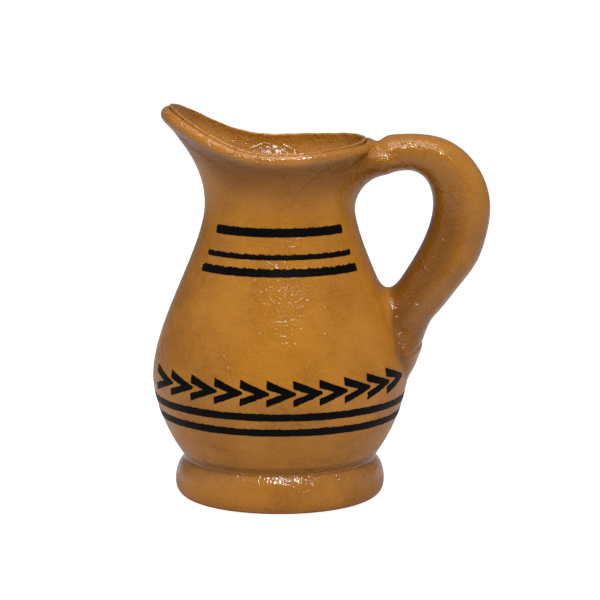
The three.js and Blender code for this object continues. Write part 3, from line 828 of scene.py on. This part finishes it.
    def join(self, x, y, z, bar, side):
        """The bar and the body run together: widely in the web under the crown, tightly on the outer side."""
        outline = self.outline
        high, low = ramp(z, *UPPER_END), ramp(z, *LOWER_END)
        under, web, over = ramp(side, 3.5, -3.5), ramp(side, 0, -6), ramp(side, 0, 4)
        reach = mix(mix(*LOWER_BLEND, web * (1 - low)), mix(*UPPER_BLEND, under), high)
        bar = bar + over * high * (hump(x, *SADDLE) + hump(x, *CROWN))
        bar = bar + over * (hump(z, *ELBOW) + hump(z, *WAIST) + hump(z, *HEEL))
        body = self.body(x, y, z) + 0.05
        clay = soft_min(body, bar, reach)
        across = z - FOLD_POINT[1] + FOLD_SLOPE * (FOLD_POINT[0] - x)
        down, outwards = FOLD_SETS_IN
        clay = clay + hump(across, *FOLD) * ramp(z, *down) * ramp(x, *outwards)
        r, angle = polar(x, y)
        top = outline.lip_height(angle)
        behind = outline.inside(angle, np.minimum(z, top)) + 1 - r
        groove = np.where(z > top - 3.4, outline.lip_radius(angle) + 1.0 - r, -9)
        return np.maximum(np.maximum(clay, np.maximum(behind, groove)), bar - reach - 3)


class CLAYJUG_OT_handle(bpy.types.Operator):
    """Pulls the handle and blends both its ends into the body"""

    bl_idname = "clay_jug.handle"
    bl_label = "Handle"

    def execute(self, context):
        handle = Handle(outline_of(context))
        # The corners of the space that holds it, from inside the wall to past its reach and from tail to rim.
        low = np.array([8, -30, 34.0])
        high = np.array([handle.outline.size.handle_reach + 2, 30, 146])
        axes = [np.arange(low[k], high[k], HANDLE_GRAIN) for k in range(3)]
        flat_x, flat_z = np.meshgrid(axes[0], axes[2], indexing="ij")
        flat = np.stack([flat_x.ravel(), flat_z.ravel()], 1)
        nearest = handle.nearest(flat)
        value = np.empty([len(axis) for axis in axes])
        for j, y in enumerate(axes[1]):
            level = np.full(len(flat), y)
            layer = handle.join(flat[:, 0], level, flat[:, 1], *handle.bar(flat, level, nearest))
            value[:, j] = layer.reshape(flat_x.shape)
        points, quads = surface_net(value)
        points = low + points * HANDLE_GRAIN
        points = settle(points, quads, handle.field)
        make_piece(
            "pulled_handle", points, quads, clay_material(context),
            ["handle", "upper_handle_root", "lower_handle_root"], shade_and_wear=handle.shade_and_wear)
        return {"FINISHED"}


def settle(points, quads, field):
    """Evens a net out and moves its points onto the zero level of the field."""
    edges = np.concatenate([quads[:, [0, 1]], quads[:, [1, 2]], quads[:, [2, 3]], quads[:, [3, 0]]])
    both = np.concatenate([edges, edges[:, ::-1]])
    degree = np.bincount(both[:, 0], minlength=len(points))[:, None]
    for _ in range(3):
        near = np.stack([
            np.bincount(both[:, 0], weights=points[both[:, 1], k], minlength=len(points)) for k in range(3)
        ], 1)
        points = mix(points, near / degree, 0.5)
        value = field(points)
        step = 0.02
        slope = np.stack([
            (field(points + step * np.eye(3)[k]) - value) / step for k in range(3)
        ], 1)
        move = value[:, None] * slope / np.maximum((slope ** 2).sum(1)[:, None], 0.25)
        points = points - np.clip(move, -0.4, 0.4)
    return points


# The painting.


def ragged(points, seed, upper, lower):
    """Resamples a closed outline and roughens it as a brush does, by one amount above and one below."""
    closed = np.vstack([points, points[:1]])
    run = np.concatenate([[0], np.cumsum(np.hypot(*np.diff(closed, axis=0).T))])
    at = np.arange(0, run[-1], 0.3)
    line = np.stack([np.interp(at, run, closed[:, k]) for k in range(2)], 1)
    along = np.roll(line, -1, 0) - np.roll(line, 1, 0)
    along /= np.linalg.norm(along, axis=1)[:, None]
    away = np.stack([along[:, 1], -along[:, 0]], 1)
    generator = np.random.RandomState(seed)
    rough = np.zeros(len(at))
    for wavelength in BRUSH_WAVES:
        phase, turns = generator.uniform(0, 2 * math.pi), max(1, round(run[-1] / wavelength))
        rough += np.sin(2 * math.pi * turns * at / run[-1] + phase) * generator.uniform(0.3, 0.6)
    amount = mix(lower, upper, smooth(0.5 + away[:, 1]))
    return line + away * (amount * rough)[:, None]


def round_corners(points, radius):
    """A polygon with each corner drawn as a short curve."""
    points = np.array(points, float)
    line = []
    for i, corner in enumerate(points):
        before, after = points[i - 1] - corner, points[(i + 1) % len(points)] - corner
        start = corner + before / np.linalg.norm(before) * min(radius, np.linalg.norm(before) / 2.2)
        end = corner + after / np.linalg.norm(after) * min(radius, np.linalg.norm(after) / 2.2)
        for t in np.linspace(0, 1, 5):
            line.append((1 - t) ** 2 * start + 2 * t * (1 - t) * corner + t * t * end)
    return np.array(line)


def paint_film(name, drawn, outline, flank, radius, material, back=0, middle=0):
    """A painted shape: a flat outline cut into small cells, laid on the clay and closed underneath.

    It is drawn with X round the jug at the radius, from the angle back, and Y up from the height middle.
    """
    side, facing, mirror = flank
    name = f"{side}_{name}"
    work = bmesh.new()
    work.faces.new([work.verts.new((u, v, 0)) for u, v in drawn])
    low, high = drawn.min(0), drawn.max(0)
    for axis, spacing in enumerate(PAINT_CELLS):
        normal = [(1, 0, 0), (0, 1, 0)][axis]
        for cut in np.arange(low[axis] + spacing, high[axis], spacing):
            at = [0, 0, 0]
            at[axis] = cut
            everything = work.verts[:] + work.edges[:] + work.faces[:]
            bmesh.ops.bisect_plane(work, geom=everything, plane_co=at, plane_no=normal, dist=1e-5)
    bmesh.ops.triangulate(work, faces=work.faces[:])
    work.verts.index_update()
    flat = np.array([v.co[:2] for v in work.verts])
    faces = [[v.index for v in f.verts] for f in work.faces]
    rim = [[v.index for v in e.verts] for e in work.edges if e.is_boundary]
    work.free()
    count = len(flat)
    angle, z = facing + mirror * (back + flat[:, 0] / radius), middle + flat[:, 1]
    points = np.vstack([
        round_jug(outline.skin(angle, z) + lift, angle, z) for lift in (outline.size.film, PAINT_ROOT)])
    under = [[count + i for i in reversed(f)] for f in faces]
    sides = [[a, b, count + b, count + a] for a, b in rim]
    return make_piece(name, points, faces + under + sides, material, [name], sharp=40)


class CLAYJUG_OT_rings(bpy.types.Operator):
    """Paints the two rings round the lower belly"""

    bl_idname = "clay_jug.rings"
    bl_label = "Belly rings"

    def execute(self, context):
        outline = outline_of(context)
        angle = np.arange(RING_COLUMNS) * 2 * math.pi / RING_COLUMNS
        for seed, (name, below) in enumerate(RINGS):
            middle = outline.size.belly_height - below
            generator = np.random.RandomState(RING_SEED + seed)
            edges = []
            for side, amount in zip((-1, 1), RING_ROUGHNESS):
                rough = np.zeros(len(angle))
                for waves in RING_WAVES:
                    phase = generator.uniform(0, 2 * math.pi)
                    rough += np.sin(waves * angle + phase) * min(0.7, 20 / waves + 0.4)
                edges.append(middle + side * RING_WIDTH / 2 + amount * rough)
            rows = []
            film = outline.size.film
            over = [(t, film) for t in (0, 0.33, 0.67, 1)]
            for t, lift in ((0, PAINT_ROOT), *over, (1, PAINT_ROOT)):
                z = mix(edges[0], edges[1], t)
                rows.append(round_jug(outline.skin(angle, z) + lift, angle, z))
            make_piece(
                name, np.concatenate(rows), loop_faces(len(rows), len(angle)), slip_material(context),
                [name], sharp=40)
        return {"FINISHED"}


def first_seed(flank, first, apart):
    """The number that starts the random edges of one flank's marks."""
    return first + apart * FLANKS.index(flank)


class CLAYJUG_OT_stripes(bpy.types.Operator):
    """Paints three stripes on each flank of the neck"""

    bl_idname = "clay_jug.stripes"
    bl_label = "Neck stripes"

    def execute(self, context):
        outline = outline_of(context)
        s = outline.size
        for flank in FLANKS:
            for seed, (name, below, width, half_angle, rough) in enumerate(
                    STRIPES, first_seed(flank, *STRIPE_SEEDS)):
                middle = s.neck_height - below
                radius = float(np.interp(middle, outline.heights, outline.radii))
                half = math.radians(half_angle) * radius
                box = [(-half, middle - width / 2), (half, middle - width / 2),
                       (half + STRIPE_SLANT, middle + width / 2), (-half - STRIPE_SLANT, middle + width / 2)]
                drawn = ragged(round_corners(box, STRIPE_CORNER), seed, rough, STRIPE_LOWER_ROUGHNESS)
                paint_film(f"neck_stripe_{name}", drawn, outline, flank, radius, slip_material(context))
        return {"FINISHED"}


class CLAYJUG_OT_chevrons(bpy.types.Operator):
    """Paints a row of arrowheads on each flank of the belly, pointing to the handle"""

    bl_idname = "clay_jug.chevrons"
    bl_label = "Chevrons"

    def execute(self, context):
        outline = outline_of(context)
        s = outline.size
        half = CHEVRON_HEIGHT / 2
        for flank in FLANKS:
            for i in range(CHEVRONS):
                k = i - (CHEVRONS - 1) / 2
                spread = CHEVRON_PITCH * k + CHEVRON_DRIFT * k ** 2 + CHEVRON_SPREAD * k ** 3
                tip = CHEVRON_START + CHEVRON_TURN / 2 + spread
                turn = CHEVRON_TURN + CHEVRON_END_GROWTH * k * k
                middle = s.belly_height + CHEVRON_ABOVE_BELLY
                middle += CHEVRON_END_CLIMB * max(0, k / ((CHEVRONS - 1) / 2)) ** 3
                reach = math.radians(turn) * s.belly_radius
                lower, upper = CHEVRON_STROKES
                arrow = [(0, half), (reach, CHEVRON_BLUNT_TIP), (reach, -CHEVRON_BLUNT_TIP), (0, -half),
                         (0, -half + lower), (CHEVRON_NOTCH[0] * reach, CHEVRON_NOTCH[1]), (0, half - upper)]
                seed = first_seed(flank, *CHEVRON_SEEDS) + i
                drawn = ragged(round_corners(arrow, CHEVRON_CORNER), seed, *CHEVRON_ROUGHNESS)
                paint_film(
                    f"chevron_{i + 1}", drawn, outline, flank, s.belly_radius, slip_material(context),
                    back=math.radians(tip - turn), middle=middle)
        return {"FINISHED"}


# The materials.


def add(tree, kind, inputs=None, **settings):
    """Adds a node, sets it up, and fills or links its inputs."""
    node = tree.nodes.new(kind)
    for key, value in settings.items():
        setattr(node, key, value)
    for key, value in (inputs or {}).items():
        if isinstance(value, bpy.types.NodeSocket):
            tree.links.new(value, node.inputs[key])
        else:
            node.inputs[key].default_value = value
    return node


def opaque(group, name):
    """A colour of the group with full cover, as the nodes take it."""
    return (*getattr(group, name), 1)


def per_mm(size):
    """Texture scale, in repeats per metre, of a pattern with this size in mm."""
    return 1 / (size * MM)


def new_material(name):
    material = bpy.data.materials.new(name)
    material.use_nodes = True
    tree = material.node_tree
    tree.nodes.clear()
    return material, tree


def clay_material(context):
    """Burnished earthenware brushed with varnish: warm, cloudy and glossy, crinkled where it is thick."""
    name = "varnished_earthenware"
    if name in bpy.data.materials:
        return bpy.data.materials[name]
    colours = context.scene.clay_jug_colours
    material, tree = new_material(name)
    place = add(tree, "ShaderNodeTexCoord").outputs["Object"]
    # Cloudy tone in patches a thumb wide, and painted shade that browns it under the roll, in the crease and
    # on the handle.
    cloud = add(tree, "ShaderNodeTexNoise", {
        "Vector": place, "Scale": per_mm(24), "Detail": 5, "Roughness": 0.64}).outputs["Fac"]
    tone = add(tree, "ShaderNodeMapRange", {
        "Value": cloud, "From Min": 0.4, "From Max": 0.67, "To Max": 0.74}).outputs["Result"]
    cloudy = add(tree, "ShaderNodeMix", {
        "Factor": tone, "A": opaque(colours, "clay"), "B": opaque(colours, "clay_deep")},
        data_type="RGBA").outputs["Result"]
    # The depth of painted shade, and the wear of the varnish, as the meshes carry them.
    depth = add(tree, "ShaderNodeAttribute", attribute_name="varnish_depth").outputs["Fac"]
    wear = add(tree, "ShaderNodeAttribute", attribute_name="varnish_wear").outputs["Fac"]
    # Pale grain of the sanded body, seen through the varnish, coarser than real sand so that it shows.
    sand = add(tree, "ShaderNodeTexNoise", {
        "Vector": place, "Scale": per_mm(0.9), "Detail": 4, "Roughness": 0.75}).outputs["Fac"]
    pale = add(tree, "ShaderNodeMapRange", {
        "Value": sand, "From Min": 0.5, "From Max": 0.85, "To Max": 0.45}).outputs["Result"]
    grained = add(tree, "ShaderNodeMix", {
        "Factor": pale, "A": cloudy, "B": opaque(colours, "grain")}, data_type="RGBA").outputs["Result"]
    # Painted shade: the shade colour mixed in as deep as the painted shade depth.
    base = add(tree, "ShaderNodeMix", {
        "Factor": depth, "A": grained, "B": opaque(colours, "clay_painted_shade")},
        data_type="RGBA").outputs["Result"]
    # Pinholes that the varnish has darkened.
    pits = add(tree, "ShaderNodeTexNoise", {
        "Vector": place, "Scale": per_mm(2.1), "Detail": 4, "Roughness": 0.7}).outputs["Fac"]
    dark = add(tree, "ShaderNodeMapRange", {
        "Value": pits, "From Min": 0.64, "From Max": 0.8, "To Max": 0.6}).outputs["Result"]
    pitted = add(tree, "ShaderNodeMix", {
        "Factor": dark, "A": base, "B": opaque(colours, "clay_deep")},
        data_type="RGBA", blend_type="MULTIPLY").outputs["Result"]
    # Scratches and drag lines: edges of warped cells, showing only here and there, and wide enough to show.
    warp = add(tree, "ShaderNodeTexNoise", {
        "Vector": place, "Scale": per_mm(15), "Detail": 2}).outputs["Color"]
    bent = add(tree, "ShaderNodeVectorMath", {0: warp, 1: (12 * MM,) * 3, 2: place}, operation="MULTIPLY_ADD")
    cells = add(tree, "ShaderNodeTexVoronoi", {
        "Vector": bent.outputs["Vector"], "Scale": per_mm(10)},
        feature="DISTANCE_TO_EDGE").outputs["Distance"]
    line = add(tree, "ShaderNodeMapRange", {
        "Value": cells, "From Min": 0.04, "From Max": 0, "To Max": 1}).outputs["Result"]
    shown = add(tree, "ShaderNodeMapRange", {
        "Value": cloud, "From Min": 0.44, "From Max": 0.54}).outputs["Result"]
    scratch = add(tree, "ShaderNodeMath", {0: line, 1: shown}, operation="MULTIPLY").outputs["Value"]
    # Brushed varnish: strokes that run slantwise round the jug, and a crinkle where it is thick, drawn as
    # coarse as it needs to be to break up the highlights. Handling has calmed and dulled it.
    turned = add(tree, "ShaderNodeMapping", {
        "Vector": place, "Rotation": (0, math.radians(24), 0), "Scale": (1, 1, 5)}).outputs["Vector"]
    strokes = add(tree, "ShaderNodeTexNoise", {
        "Vector": turned, "Scale": per_mm(7), "Detail": 1, "Roughness": 0.4}).outputs["Fac"]
    thick = add(tree, "ShaderNodeMapRange", {
        "Value": cloud, "From Min": 0.4, "From Max": 0.6, "To Min": 0.7}).outputs["Result"]
    crinkle = add(tree, "ShaderNodeTexNoise", {
        "Vector": place, "Scale": per_mm(1.15), "Detail": 1, "Roughness": 0.4,
        "Distortion": 0.8}).outputs["Fac"]
    calm = add(tree, "ShaderNodeMapRange", {"Value": wear, "To Min": 1, "To Max": 0.85}).outputs["Result"]
    lie = add(tree, "ShaderNodeMath", {0: calm, 1: thick}, operation="MULTIPLY").outputs["Value"]
    wrinkled = add(tree, "ShaderNodeMath", {0: crinkle, 1: lie}, operation="MULTIPLY").outputs["Value"]
    rough = add(tree, "ShaderNodeMapRange", {
        "Value": strokes, "From Min": 0.3, "From Max": 0.7, "To Min": 0.36, "To Max": 0.52}).outputs["Result"]
    gloss = add(tree, "ShaderNodeMapRange", {"Value": wear, "To Min": 1, "To Max": 0.5}).outputs["Result"]
    relief = []
    for height, depth in ((strokes, 0.12), (wrinkled, 0.3), (scratch, 0.15), (sand, 0.03)):
        under = {"Normal": relief[-1]} if relief else {}
        layer = add(tree, "ShaderNodeBump", {
            "Height": height, "Strength": 1, "Distance": depth * MM, **under})
        relief.append(layer.outputs["Normal"])
    # The varnish, a clear coat over all the relief but the sand, takes the shine, and the clay has little.
    shader = add(tree, "ShaderNodeBsdfPrincipled", {
        "Base Color": pitted, "Roughness": rough, "Normal": relief[3], "IOR": 1.1,
        "Coat Weight": gloss, "Coat Roughness": 0.06, "Coat IOR": 1.57, "Coat Normal": relief[2]})
    add(tree, "ShaderNodeOutputMaterial", {"Surface": shader.outputs["BSDF"]})
    return material


def slip_material(context):
    """Black slip brushed on before the varnish: dense and nearly matt, a little worn."""
    name = "black_slip_paint"
    if name in bpy.data.materials:
        return bpy.data.materials[name]
    colours = context.scene.clay_jug_colours
    material, tree = new_material(name)
    place = add(tree, "ShaderNodeTexCoord").outputs["Object"]
    worn = add(tree, "ShaderNodeTexNoise", {
        "Vector": place, "Scale": per_mm(1.1), "Detail": 3, "Roughness": 0.65}).outputs["Fac"]
    thin = add(tree, "ShaderNodeMapRange", {
        "Value": worn, "From Min": 0.62, "From Max": 0.8, "To Max": 0.6}).outputs["Result"]
    base = add(tree, "ShaderNodeMix", {
        "Factor": thin, "A": opaque(colours, "slip"), "B": opaque(colours, "slip_worn")}, data_type="RGBA")
    bump = add(tree, "ShaderNodeBump", {"Height": worn, "Strength": 1, "Distance": 0.08 * MM})
    shader = add(tree, "ShaderNodeBsdfPrincipled", {
        "Base Color": base.outputs["Result"], "Roughness": 0.45, "IOR": 1.15,
        "Normal": bump.outputs["Normal"]})
    add(tree, "ShaderNodeOutputMaterial", {"Surface": shader.outputs["BSDF"]})
    return material


# The stage.


# The floor reaches past the camera's view, and glows a little to the camera so that it comes out white.
FLOOR_RADIUS = 8
FLOOR_GLOW = 1.62
FLOOR_GLOW_SHARE = 0.58


def floor_material(context):
    """A pale studio floor: white to the camera, darkened only by the jug's shadow."""
    material, tree = new_material("studio_floor_paper")
    colours = context.scene.clay_jug_colours
    path = add(tree, "ShaderNodeLightPath")
    tone = add(tree, "ShaderNodeMix", {
        "Factor": path.outputs["Is Camera Ray"], "A": opaque(colours, "floor_bounce"),
        "B": opaque(colours, "floor")}, data_type="RGBA")
    diffuse = add(tree, "ShaderNodeBsdfDiffuse", {"Color": tone.outputs["Result"]})
    glow = add(tree, "ShaderNodeEmission", {"Color": (1, 1, 1, 1), "Strength": FLOOR_GLOW})
    seen = add(tree, "ShaderNodeMath", {
        0: path.outputs["Is Camera Ray"], 1: FLOOR_GLOW_SHARE}, operation="MULTIPLY")
    both = add(tree, "ShaderNodeMixShader", {
        0: seen.outputs["Value"], 1: diffuse.outputs["BSDF"], 2: glow.outputs["Emission"]})
    add(tree, "ShaderNodeOutputMaterial", {"Surface": both.outputs["Shader"]})
    return material


# Soft boxes: name, degrees round from the front to the right, degrees up, then distance, width and depth
# in metres.
LAMPS = (
    ("top_lamp", 0, 86, 1.0, 0.7, 0.7),
    ("front_lamp", 9, 52, 1.1, 0.6, 0.1),
    ("right_lamp", 75, 34, 1.1, 1.7, 1.7),
    ("left_lamp", -75, 34, 1.1, 1.7, 1.7),
)


def hang_lamp(scene, aim, name, turn, lift, distance, width, depth, power):
    """A round or oval soft box that faces the jug's axis at the height of aim."""
    lamp = bpy.data.lights.new(name, "AREA")
    lamp.shape, lamp.size, lamp.size_y, lamp.energy = "ELLIPSE", width, depth, power
    holder = bpy.data.objects.new(name, lamp)
    out = distance * math.cos(lift)
    holder.location = (out * math.sin(turn), -out * math.cos(turn), aim + distance * math.sin(lift))
    holder.rotation_euler = (math.pi / 2 - lift, 0, turn)
    scene.collection.objects.link(holder)


class CLAYJUG_OT_stage(bpy.types.Operator):
    """Sets up the pale floor, the soft lamps and the camera"""

    bl_idname = "clay_jug.stage"
    bl_label = "Stage"

    def execute(self, context):
        scene, stage = context.scene, context.scene.clay_jug_stage
        work = bmesh.new()
        bmesh.ops.create_circle(work, cap_ends=True, segments=96, radius=FLOOR_RADIUS)
        mesh = bpy.data.meshes.new("studio_floor")
        work.to_mesh(mesh)
        work.free()
        mesh.materials.append(floor_material(context))
        floor = bpy.data.objects.new("studio_floor", mesh)
        scene.collection.objects.link(floor)

        for name, turn, lift, *sizes in LAMPS:
            turn, lift = math.radians(turn), math.radians(lift)
            hang_lamp(scene, stage.camera_height, name, turn, lift, *sizes, getattr(stage, name))

        world = bpy.data.worlds.new("surround")
        world.use_nodes = True
        tree = world.node_tree
        tree.nodes.clear()
        path = add(tree, "ShaderNodeLightPath")
        lit = add(tree, "ShaderNodeBackground", {"Color": (1, 1, 1, 1), "Strength": stage.surround})
        seen = add(tree, "ShaderNodeBackground", {"Color": (1, 1, 1, 1), "Strength": 1})
        both = add(tree, "ShaderNodeMixShader", {
            0: path.outputs["Is Camera Ray"], 1: lit.outputs["Background"], 2: seen.outputs["Background"]})
        add(tree, "ShaderNodeOutputWorld", {"Surface": both.outputs["Shader"]})
        scene.world = world

        camera = bpy.data.cameras.new("studio_camera")
        camera.lens, camera.sensor_width = stage.lens, 36
        view = bpy.data.objects.new("studio_camera", camera)
        flat, tall = math.cos(stage.elevation), math.sin(stage.elevation)
        view.location = (
            stage.camera_aside, -stage.camera_distance * flat,
            stage.camera_height + stage.camera_distance * tall)
        view.rotation_euler = (math.pi / 2 - stage.elevation, 0, 0)
        scene.collection.objects.link(view)
        scene.camera = view
        scene.view_settings.view_transform = "Standard"
        return {"FINISHED"}


class CLAYJUG_PT_panel(bpy.types.Panel):
    """Sizes, colours and steps of the clay jug"""

    bl_label = "Clay Jug"
    bl_idname = "CLAYJUG_PT_panel"
    bl_space_type = "VIEW_3D"
    bl_region_type = "UI"
    bl_category = "Clay Jug"

    def draw(self, context):
        for group in (context.scene.clay_jug_sizes, context.scene.clay_jug_colours,
                      context.scene.clay_jug_stage):
            box = self.layout.box()
            for name in group.__annotations__:
                box.prop(group, name)
        for operator in OPERATORS:
            self.layout.operator(operator.bl_idname)


GROUPS = (ClayJugSizes, ClayJugColours, ClayJugStage)
OPERATORS = (
    CLAYJUG_OT_stage, CLAYJUG_OT_floor, CLAYJUG_OT_wall, CLAYJUG_OT_foot, CLAYJUG_OT_rim, CLAYJUG_OT_handle,
    CLAYJUG_OT_rings, CLAYJUG_OT_stripes, CLAYJUG_OT_chevrons)
CLASSES = (*GROUPS, *OPERATORS, CLAYJUG_PT_panel)


def register():
    for cls in CLASSES:
        bpy.utils.register_class(cls)
    bpy.types.Scene.clay_jug_sizes = bpy.props.PointerProperty(type=ClayJugSizes)
    bpy.types.Scene.clay_jug_colours = bpy.props.PointerProperty(type=ClayJugColours)
    bpy.types.Scene.clay_jug_stage = bpy.props.PointerProperty(type=ClayJugStage)


def unregister():
    del bpy.types.Scene.clay_jug_stage
    del bpy.types.Scene.clay_jug_colours
    del bpy.types.Scene.clay_jug_sizes
    for cls in reversed(CLASSES):
        bpy.utils.unregister_class(cls)


def main():
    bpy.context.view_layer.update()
    register()
    bpy.ops.clay_jug.stage()
    bpy.ops.clay_jug.floor()
    bpy.ops.clay_jug.wall()
    bpy.ops.clay_jug.foot()
    bpy.ops.clay_jug.rim()
    bpy.ops.clay_jug.handle()
    bpy.ops.clay_jug.rings()
    bpy.ops.clay_jug.stripes()
    bpy.ops.clay_jug.chevrons()


if __name__ == "__main__":
    main()
